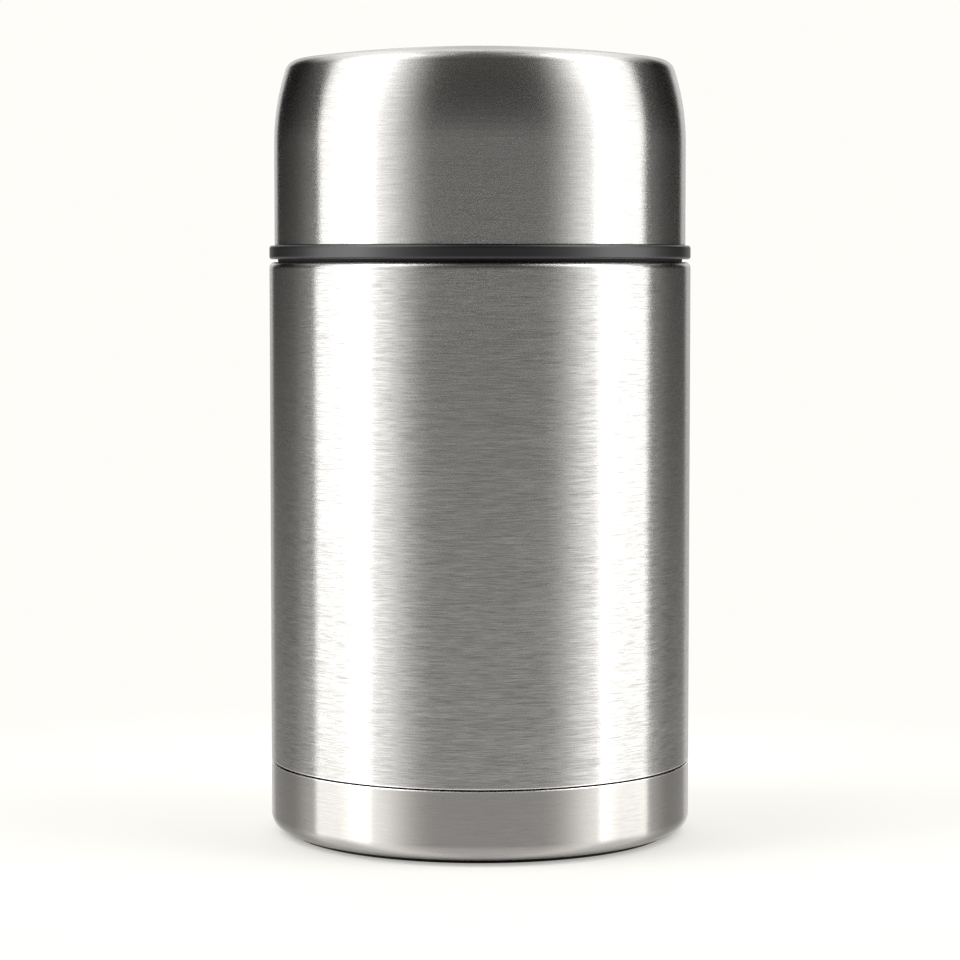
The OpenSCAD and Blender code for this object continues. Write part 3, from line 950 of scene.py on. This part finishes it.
@dataclass
class Studio:
    """Floor, backdrop light, lamps and camera, with lengths in metres and the pitch in degrees."""

    camera_back: float = 0.7944
    camera_height: float = 0.1471
    camera_pitch: float = 4.074
    lens: float = 115.58
    floor_radius: float = 0.8
    floor_sides: int = 96
    floor_colour: str = "#EFEEE9"
    # The floor lies this much under the foot, so that the two faces never share a plane
    floor_gap: float = 0.00005
    # Inside this radius, which the foot covers, the floor is open, so that the foot shows from below
    open_radius: float = 0.0485
    # Beyond this radius the floor isn't seen in the jar's polish
    mirrored_radius: float = 0.052
    # Radii between which the floor passes into the backdrop, and the backdrop's share at the first
    merge_start: float = 0.05
    merge_end: float = 0.25
    merge_share: float = 0.35

    def place_camera(self) -> None:
        """Adds the camera and makes it the scene's."""
        camera = bpy.data.cameras.new("camera")
        camera.lens = self.lens
        holder = bpy.data.objects.new("camera", camera)
        bpy.context.scene.collection.objects.link(holder)
        holder.location = (0, -self.camera_back, self.camera_height)
        holder.rotation_euler = (math.radians(90 - self.camera_pitch), 0, 0)
        bpy.context.scene.camera = holder

    def light_world(self) -> None:
        """Gives the world a white backdrop and the grey surroundings that the polish mirrors."""
        world = bpy.data.worlds.new("studio")
        bpy.context.scene.world = world
        world.use_nodes = True
        tree = world.node_tree
        tree.nodes.clear()
        node = functools.partial(add_node, tree)
        x, y, up = node("SeparateXYZ", (node("TexCoord", output="Generated"),)).node.outputs
        level = node("VectorMath", (node("CombineXYZ", (x, y)),), operation="NORMALIZE")
        aside, back, _ = node("SeparateXYZ", (level,)).node.outputs
        heading = node("CombineXYZ", (aside, back, up))
        around = 0.0
        for fades in SURROUNDINGS:
            light = 1.0
            for fade in fades:
                light = node("Math", (light, fade.level(tree, heading)), operation="MULTIPLY")
            around = node("Math", (around, light), operation="ADD")
        seen = node("LightPath", output="Is Camera Ray")
        lit = node("MapRange", (around, *WARM_SPAN), interpolation_type="SMOOTHSTEP")
        hue = linear(WARM)
        for share, colour in ((lit, WHITE), (seen, PALE)):
            hue = node("Mix", {"Factor": share, "A": hue, "B": linear(colour)}, "Result", data_type="RGBA")
        strength = node("Mix", {"Factor": seen, "A": around, "B": 1.0}, data_type="FLOAT")
        node("OutputWorld", {"Surface": node("Background", {"Color": hue, "Strength": strength})})

    def lay_floor(self) -> None:
        """Adds the pale floor, which keeps the jar's shadow and fades into the backdrop."""
        clear_selection()
        bpy.ops.mesh.primitive_circle_add(
            vertices=self.floor_sides, radius=self.floor_radius, fill_type="NGON",
            location=(0, 0, -self.floor_gap),
        )
        floor = bpy.context.object
        floor.name = "floor"
        material, node = empty_material("floor")
        reach = node("VectorMath", (node("TexCoord", output="Object"),), 1, operation="LENGTH")
        rays = node("LightPath").node.outputs
        matt = node("BsdfDiffuse", {"Color": linear(self.floor_colour)})
        glow = node("Emission", {"Color": linear(PALE), "Strength": rays["Is Camera Ray"]})
        merge = (reach, self.merge_start, self.merge_end, self.merge_share, 1.0)
        merged = node("MapRange", merge, interpolation_type="SMOOTHSTEP")
        seen = node("Math", (merged, rays["Is Camera Ray"]), operation="MULTIPLY")
        lit = node("MixShader", (seen, matt, glow))
        far = node("Math", (reach, self.mirrored_radius), operation="GREATER_THAN")
        passing = node("Math", (rays["Is Glossy Ray"], rays["Is Shadow Ray"]), operation="MAXIMUM")
        # From below, and under the foot, the floor isn't there at all
        under = node("NewGeometry", output="Backfacing")
        covered = node("Math", (reach, self.open_radius), operation="LESS_THAN")
        opened = node("Math", (under, covered), operation="MAXIMUM")
        unseen = node("Math", (far, passing, opened), operation="MULTIPLY_ADD", use_clamp=True)
        whole = node("MixShader", (unseen, lit, node("BsdfTransparent")))
        node("OutputMaterial", {"Surface": whole})
        floor.data.materials.append(material)

    def build(self) -> None:
        """Sets the whole studio up."""
        self.place_camera()
        self.light_world()
        self.lay_floor()
        Softbox("left_softbox", -98, -60).place()
        Softbox("right_softbox", 101, 66).place()
        bpy.context.scene.view_settings.view_transform = "Standard"


# ---- Sub-assemblies ----


@dataclass
class VacuumBody:
    """The wall, the base cup with its foot pad, and the flask inside them."""

    wall_r: float = 54.0
    wall_t: float = 0.6
    shoulder_z: float = 146.7
    shoulder_r: float = 1.5
    neck_r: float = 48.5
    neck_cove_r: float = 0.8
    mouth_r: float = 45.0
    rim_z: float = 161.0
    lip_r: float = 1.5
    weld_z: float = 157.0
    wall_foot_z: float = 18.91
    cup_top_z: float = 18.49
    seam_edge_r: float = 0.15
    swage_r: float = 53.35
    swage_foot_z: float = 5.8
    cup_foot_z: float = 1.0
    base_r: float = 3.8
    recess_in_r: float = 49.3
    recess_z: float = 2.5
    foot_edge_r: float = 0.4
    recess_r: float = 1.0
    pad_r: float = 49.2
    pad_edge_r: float = 0.3
    liner_r: float = 50.2
    liner_t: float = 0.5
    liner_foot_z: float = 13.7
    liner_base_r: float = 8.0
    liner_top_z: float = 142.9
    liner_shoulder_r: float = 3.0
    liner_cove_r: float = 1.2
    # Foot and top of the two threads
    neck_thread_z: Span = (149.0, 157.5)
    mouth_thread_z: Span = (145.5, 155.5)
    mouth_ridge_h: float = 0.9

    def wall_outline(self) -> Outline:
        """Section of the outer wall, from its swaged end to the inner leg of the rim.

        Returns:
            The closed outline.
        """
        return section(
            (self.swage_r, self.swage_foot_z), (self.swage_r, self.wall_foot_z),
            (self.wall_r, self.wall_foot_z, self.seam_edge_r),
            (self.wall_r, self.shoulder_z, self.shoulder_r), (self.neck_r, self.shoulder_z, self.neck_cove_r),
            (self.neck_r, self.rim_z, self.lip_r), (self.mouth_r, self.rim_z, self.lip_r),
            (self.mouth_r, self.weld_z),
        ).sheet(self.wall_t)

    def cup_outline(self) -> Outline:
        """Section of the base cup, from its centre to its upper edge.

        Returns:
            The closed outline.
        """
        return section(
            (0, self.recess_z), (self.recess_in_r, self.recess_z, self.recess_r),
            (self.recess_in_r, self.cup_foot_z, self.foot_edge_r),
            (self.wall_r, self.cup_foot_z, self.base_r), (self.wall_r, self.cup_top_z, self.seam_edge_r),
        ).sheet(self.wall_t)

    def pad_outline(self) -> Outline:
        """Section of the foot pad."""
        foot = ((0, 0), (self.pad_r, 0, self.pad_edge_r))
        return section(*foot, (self.pad_r, self.recess_z, self.recess_r), (0, self.recess_z))

    def flask_outline(self) -> Outline:
        """Section of the liner, from its centre to the weld under the rim.

        Returns:
            The closed outline.
        """
        neck_r = self.mouth_r + self.liner_t
        return section(
            (0, self.liner_foot_z), (self.liner_r, self.liner_foot_z, self.liner_base_r),
            (self.liner_r, self.liner_top_z, self.liner_shoulder_r),
            (neck_r, self.liner_top_z, self.liner_cove_r), (neck_r, self.weld_z),
        ).sheet(self.liner_t)

    def build(self) -> None:
        """Makes and dresses the body's pieces."""
        fit(turned("body_wall", self.wall_outline()), WALL_STEEL, Body.VESSEL, "outer_shell")
        fit(turned("base_cup_wall", self.cup_outline()), CUP_STEEL, Body.VESSEL, "base_cup")
        # The pad's black stands partly for painted shade in the gap under the base
        fit(turned("foot_pad_disc", self.pad_outline()), BLACK_SILICONE, Body.VESSEL, "foot_pad")
        fit(turned("flask_liner", self.flask_outline()), LINER_STEEL, Body.VESSEL, "inner_flask")
        neck = Thread(self.neck_r, *self.neck_thread_z, Side.OUTER)
        fit(neck.piece("neck_thread"), WALL_STEEL, Body.VESSEL)
        mouth = Thread(self.mouth_r, *self.mouth_thread_z, Side.INNER, self.mouth_ridge_h)
        fit(mouth.piece("mouth_thread"), LINER_STEEL, Body.VESSEL)
        dress("reflective_foil", WRAPPED_COPPER)
        dress("vacuum_base_disc", LINER_STEEL)
        dress("getter", SINTERED_GETTER)
        dress("vacuum_seal_bead", SEALING_GLASS)


@dataclass
class Stopper:
    """The screw stopper: its plug, its scalloped cap with the vent's well, its gasket and its spring."""

    plug_r: float = 43.7
    plug_t: float = 2.0
    plug_z: float = 137.0
    plug_edge_r: float = 2.4
    plug_in_r: float = 1.2
    seat_h: float = 0.5
    guide_in_r: float = 4.2
    guide_r: float = 6.2
    cap_z: float = 162.4
    plug_top_z: float = 164.8
    cap_top_z: float = 182.4
    cap_t: float = 2.4
    flange_r: float = 48.1
    flange_edge_r: float = 0.8
    grip_r: float = 44.5
    grip_cove_r: float = 1.2
    grip_edge_r: float = 2.2
    scallops: int = 30
    scallop_r: float = 4.0
    scallop_depth: float = 0.7
    # How far outside the dish the scallops may start
    scallop_gap: float = 1.0
    sector_facets: int = 16
    dish_r: float = 39.5
    dish_z: float = 181.2
    plate_z: float = 178.8
    button_hole_r: float = 14.3
    well_r: float = 15.5
    well_t: float = 1.8
    well_floor_z: float = 168.4
    stem_hole_r: float = 3.3
    steam_notches: int = 4
    steam_notch_r: float = 0.9
    gasket_in_r: float = 44.1
    gasket_out_r: float = 47.8
    gasket_foot_z: float = 161.0
    spring_top_z: float = 180.0
    spring_r: float = 6.1
    wire_r: float = 0.5
    closed_pitch: float = 1.05
    coils: int = 4
    wire_sides: int = 12
    steps_per_coil: int = 32
    button_travel: float = 3.0
    # Foot and top of the plug's thread
    thread_z: Span = (143.5, 155.5)
    ridge_h: float = 0.9

    def plug_outline(self) -> Outline:
        """Section of the hollow plug and the guide tube in its middle.

        Returns:
            The closed outline.
        """
        foot_z, floor_z = self.plug_z - self.seat_h, self.plug_z + self.plug_t
        inner_r, well_bottom_z = self.plug_r - self.plug_t, self.well_floor_z - self.well_t
        return section(
            (self.guide_in_r, foot_z), (self.guide_r, foot_z, HAIR), (self.guide_r, self.plug_z),
            (self.plug_r, self.plug_z, self.plug_edge_r), (self.plug_r, self.plug_top_z),
            (inner_r, self.plug_top_z), (inner_r, floor_z, self.plug_in_r),
            (self.guide_r, floor_z, EASED), (self.guide_r, well_bottom_z), (self.guide_in_r, well_bottom_z),
        )

    def cap_outline(self) -> Outline:
        """Section of the cap: the well, the dished top, the grip and the flange.

        Returns:
            The closed outline.
        """
        well_out_r, well_bottom_z = self.well_r + self.well_t, self.well_floor_z - self.well_t
        inner_r = self.grip_r - self.cap_t
        return section(
            (self.stem_hole_r, well_bottom_z), (well_out_r, well_bottom_z, EASED), (well_out_r, self.plate_z),
            (inner_r, self.plate_z, self.grip_edge_r / 2), (inner_r, self.plug_top_z),
            (self.plug_r, self.plug_top_z), (self.plug_r, self.cap_z),
            (self.flange_r, self.cap_z, self.flange_edge_r / 2),
            (self.flange_r, self.plug_top_z, self.flange_edge_r),
            (self.grip_r, self.plug_top_z, self.grip_cove_r), (self.grip_r, self.cap_top_z, self.grip_edge_r),
            (self.dish_r, self.cap_top_z, SOFT), (self.dish_r, self.dish_z, SOFT),
            (self.button_hole_r, self.dish_z, EASED), (self.button_hole_r, self.plate_z),
            (self.well_r, self.plate_z), (self.well_r, self.well_floor_z, FULL),
            (self.stem_hole_r, self.well_floor_z, FINE),
        )

    def cap(self) -> Piece:
        """Makes the cap from one scalloped sector, which is repeated round the axis.

        Returns:
            The finished piece, at the origin.
        """
        piece = turned(
            "stopper_cap_moulding", self.cap_outline(), self.sector_facets, FULL_TURN / self.scallops
        )
        scallops = Flutes(
            self.scallops, self.grip_r + self.scallop_r - self.scallop_depth, self.scallop_r, Side.OUTER,
            self.dish_r + self.scallop_gap, self.plug_top_z + self.grip_cove_r + HOLD / 2,
        )
        carve(piece, scallops.radius)
        reopened(piece)
        repeat_round(self.scallops)
        finished(piece)
        notches = Flutes(
            self.steam_notches, self.stem_hole_r, self.steam_notch_r, Side.INNER,
            self.stem_hole_r + HOLD, self.well_floor_z + HOLD,
        )
        carve(piece, notches.radius)
        return piece

    def gasket_outline(self) -> Outline:
        """Section of the gasket, with its round outer edge.

        Returns:
            The closed outline.
        """
        bead = (self.cap_z - self.gasket_foot_z) / 2
        middle = (self.gasket_out_r - bead, self.gasket_foot_z + bead)
        edge = arc_points(middle, bead, -math.pi / 2, math.pi / 2, 2 * ROUNDING_STEP)
        return section((self.gasket_in_r, self.gasket_foot_z), *edge, (self.gasket_in_r, self.cap_z))

    def spring_height(self, done: float) -> float:
        """Height of the wire's middle: a closed coil at each end and an even pitch between.

        Args:
            done: Share of the way along the wire.

        Returns:
            The height in millimetres.
        """
        turns = done * (self.coils + 2)
        length = self.spring_top_z - self.well_floor_z
        if turns < 1:
            return self.well_floor_z + turns * self.closed_pitch
        if turns > self.coils + 1:
            return self.spring_top_z - (self.coils + 2 - turns) * self.closed_pitch
        open_pitch = (length - 2 * self.closed_pitch) / self.coils
        return self.well_floor_z + self.closed_pitch + (turns - 1) * open_pitch

    def spring(self) -> Piece:
        """Winds the spring and grinds its two ends flat.

        Returns:
            The finished piece, at the origin.
        """
        angles = [FULL_TURN * k / self.wire_sides for k in range(self.wire_sides)]
        wire = [(self.wire_r * math.cos(a), self.wire_r * math.sin(a)) for a in angles]
        turns = self.coils + 2
        steps = self.steps_per_coil * turns
        winding = Winding(wire, 360 * turns, steps, self.spring_height, lambda done: self.spring_r)
        piece = winding.piece("vent_spring_coil")
        reopened(piece)
        for z, upwards in ((self.well_floor_z, False), (self.spring_top_z, True)):
            bpy.ops.mesh.select_all(action="SELECT")
            bpy.ops.mesh.bisect(
                plane_co=(0, 0, z * MM), plane_no=(0, 0, 1), use_fill=True, clear_inner=not upwards,
                clear_outer=upwards,
            )
        return finished(piece, CRISP_WOUND)

    def build(self) -> None:
        """Makes and dresses the stopper's pieces."""
        fit(turned("stopper_plug_shell", self.plug_outline()), STOPPER_PLASTIC, Body.STOPPER, "stopper_plug")
        thread = Thread(self.plug_r, *self.thread_z, Side.OUTER, self.ridge_h)
        fit(thread.piece("plug_thread"), STOPPER_PLASTIC, Body.STOPPER)
        fit(self.cap(), STOPPER_PLASTIC, Body.STOPPER, "stopper_cap")
        gasket = turned("stopper_gasket_ring", self.gasket_outline())
        fit(gasket, PALE_SILICONE, Body.STOPPER_SEAL, "stopper_gasket")
        spring = self.spring()
        fit(spring, SPRING_WIRE, Body.STOPPER, "vent_spring")
        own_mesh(spring)
        dress("stopper_foam", POURED_FOAM)


@dataclass
class VentValve:
    """The push button, its stem, and the seal and clip on the stem's foot."""

    button_r: float = 14.0
    button_t: float = 1.6
    top_z: float = 182.2
    under_z: float = 180.0
    edge_r: float = 1.0
    plate_z: float = 178.8
    snap_r: float = 15.2
    snap_z: float = 177.6
    dish_r: float = 10.8
    dish: float = 0.6
    boss_r: float = 4.8
    boss_z: float = 173.0
    stem_r: float = 3.0
    segments: int = 128
    dish_step: float = math.radians(0.8)

    def button_outline(self) -> Outline:
        """Section of the button, from its finger dish round to the ceiling over the stem.

        Returns:
            The closed outline.
        """
        dish_sphere = (self.dish_r**2 + self.dish**2) / (2 * self.dish)
        centre = (0.0, self.top_z - self.dish + dish_sphere)
        reach = math.asin(self.dish_r / dish_sphere)
        dish = arc_points(centre, dish_sphere, -math.pi / 2, reach - math.pi / 2, self.dish_step)
        # On the axis exactly, so that the spin closes there
        dish[0].r = 0.0
        inner_r = self.button_r - self.button_t
        return section(
            *dish, (self.button_r, self.top_z, self.edge_r), (self.button_r, self.plate_z, FINE),
            (self.snap_r, self.plate_z, FINE), (self.snap_r, self.snap_z, EASED),
            (inner_r, self.snap_z, FINE), (inner_r, self.under_z, FULL), (self.boss_r, self.under_z, FULL),
            (self.boss_r, self.boss_z, EASED), (self.stem_r, self.boss_z), (self.stem_r, self.under_z),
            (0, self.under_z),
        )

    def build(self) -> None:
        """Makes and dresses the valve's pieces."""
        button = turned("vent_button_moulding", self.button_outline(), self.segments)
        fit(button, BUTTON_PLASTIC, Body.VENT_VALVE, "vent_button")
        dress("vent_stem", BUTTON_PLASTIC)
        dress("vent_seal", PALE_SILICONE)
        dress("vent_clip", SPRING_WIRE)


@dataclass
class Lid:
    """The lid: its ring with the gasket, its shell and the bowl inside."""

    wall_r: float = 54.0
    shell_r: float = 52.65
    shell_t: float = 0.6
    foot_z: float = 150.9
    turn_z: float = 176.8
    crown_z: float = 201.1
    flank_r: float = 61.0
    edge_r: float = 3.6
    foot_r: float = 0.3
    crown_r: float = 344.0
    ring_z: float = 147.4
    ring_edge_r: float = 0.7
    ring_bore_r: float = 49.7
    collar_r: float = 51.95
    collar_top_z: float = 159.9
    seat_r: float = 52.15
    seat_z: float = 148.7
    gasket_in_r: float = 49.85
    gasket_out_r: float = 51.85
    gasket_foot_z: float = 146.7
    bowl_inset: float = 1.8
    bowl_t: float = 0.5
    bowl_edge_r: float = 8.0
    # Widest facets of the flank and of the crown
    flank_step: float = math.radians(1.5)
    crown_step: float = math.radians(0.6)
    # Foot and top of the ring's thread
    thread_z: Span = (151.0, 158.8)

    def skin(self, inset: float, edge_r: float, foot_z: float) -> list[Corner]:
        """Line of the lid's skin: a straight side, a drawn-in flank, a round edge and a shallow crown.

        Args:
            inset: Distance inside the outer skin.
            edge_r: Rounding of the top edge.
            foot_z: Height where the line starts.

        Returns:
            The line's corners, from the foot to the axis.
        """
        flank_at = Vector((self.shell_r - self.flank_r, self.turn_z))
        crown_at = Vector((0, self.crown_z - self.crown_r))
        flank, crown = self.flank_r - inset, self.crown_r - inset
        gap = (crown_at - flank_at).length
        toward = (crown_at - flank_at) / gap
        reach = ((flank - edge_r) ** 2 - (crown - edge_r) ** 2 + gap**2) / (2 * gap)
        rise = math.sqrt((flank - edge_r) ** 2 - reach**2)
        edge_at = flank_at + toward * reach + Vector((-toward.y, toward.x)) * rise
        from_flank, from_crown = edge_at - flank_at, edge_at - crown_at
        flank_end = math.atan2(from_flank.y, from_flank.x)
        crown_start = math.atan2(from_crown.y, from_crown.x)
        corners = [Corner(self.shell_r - inset, foot_z)]
        corners += arc_points(flank_at.to_tuple(), flank, 0, flank_end, self.flank_step)
        corners += arc_points(edge_at.to_tuple(), edge_r, flank_end, crown_start, ROUNDING_STEP / 2)[1:]
        corners += arc_points(crown_at.to_tuple(), crown, crown_start, math.pi / 2, self.crown_step)[1:]
        # On the axis exactly, so that the spin closes there
        corners[-1].r = 0.0
        return corners

    def shell_outline(self) -> Outline:
        """Section of the lid's shell.

        Returns:
            The closed outline.
        """
        inner = self.skin(self.shell_t, self.edge_r - self.shell_t, self.foot_z)
        outer = self.skin(0, self.edge_r, self.foot_z)
        outer[0].rounding = self.foot_r
        return Outline(inner[::-1] + outer)

    def bowl_outline(self) -> Outline:
        """Section of the bowl, with the flange that sits on the ring's collar.

        Returns:
            The closed outline.
        """
        inner = self.skin(self.bowl_inset + self.bowl_t, self.bowl_edge_r, self.collar_top_z)
        flange_r, flange_z = self.shell_r - self.shell_t, self.collar_top_z + self.bowl_t
        outer = self.skin(self.bowl_inset, self.bowl_edge_r + self.bowl_t, flange_z)
        return section(*inner[::-1], (flange_r, self.collar_top_z), (flange_r, flange_z), *outer)

    def ring_outline(self) -> Outline:
        """Section of the ring, with its collar and the gasket's seat.

        Returns:
            The closed outline.
        """
        return section(
            (self.wall_r, self.ring_z, self.ring_edge_r), (self.wall_r, self.foot_z, self.ring_edge_r),
            (self.collar_r, self.foot_z), (self.collar_r, self.collar_top_z),
            (self.ring_bore_r, self.collar_top_z), (self.ring_bore_r, self.seat_z),
            (self.seat_r, self.seat_z), (self.seat_r, self.ring_z),
        )

    def gasket_outline(self) -> Outline:
        """Section of the gasket in the ring's seat.

        Returns:
            The closed outline.
        """
        return section(
            (self.gasket_out_r, self.gasket_foot_z, FINE), (self.gasket_out_r, self.seat_z, FINE),
            (self.gasket_in_r, self.seat_z, FINE), (self.gasket_in_r, self.gasket_foot_z, FINE),
        )

    def build(self) -> None:
        """Makes and dresses the lid's pieces."""
        fit(turned("lid_shell_skin", self.shell_outline()), LID_STEEL, Body.LID, "lid_shell")
        fit(turned("lid_ring_moulding", self.ring_outline()), RING_PLASTIC, Body.LID, "lid_ring")
        thread = Thread(self.ring_bore_r, *self.thread_z, Side.INNER)
        fit(thread.piece("ring_thread"), RING_PLASTIC, Body.LID)
        fit(turned("lid_bowl_liner", self.bowl_outline()), BOWL_STEEL, Body.LID, "lid_bowl")
        # The gasket's black stands partly for painted shade in the gap under the ring
        fit(turned("lid_gasket_ring", self.gasket_outline()), BLACK_SILICONE, Body.LID_SEAL, "lid_gasket")


def main() -> None:
    """Builds the studio and the jar."""
    logging.basicConfig(level=logging.INFO, format="%(message)s")
    Studio().build()
    for assembly in (VacuumBody(), Stopper(), VentValve(), Lid()):
        assembly.build()
        log.info("%s is ready", type(assembly).__name__)


if __name__ == "__main__":
    main()
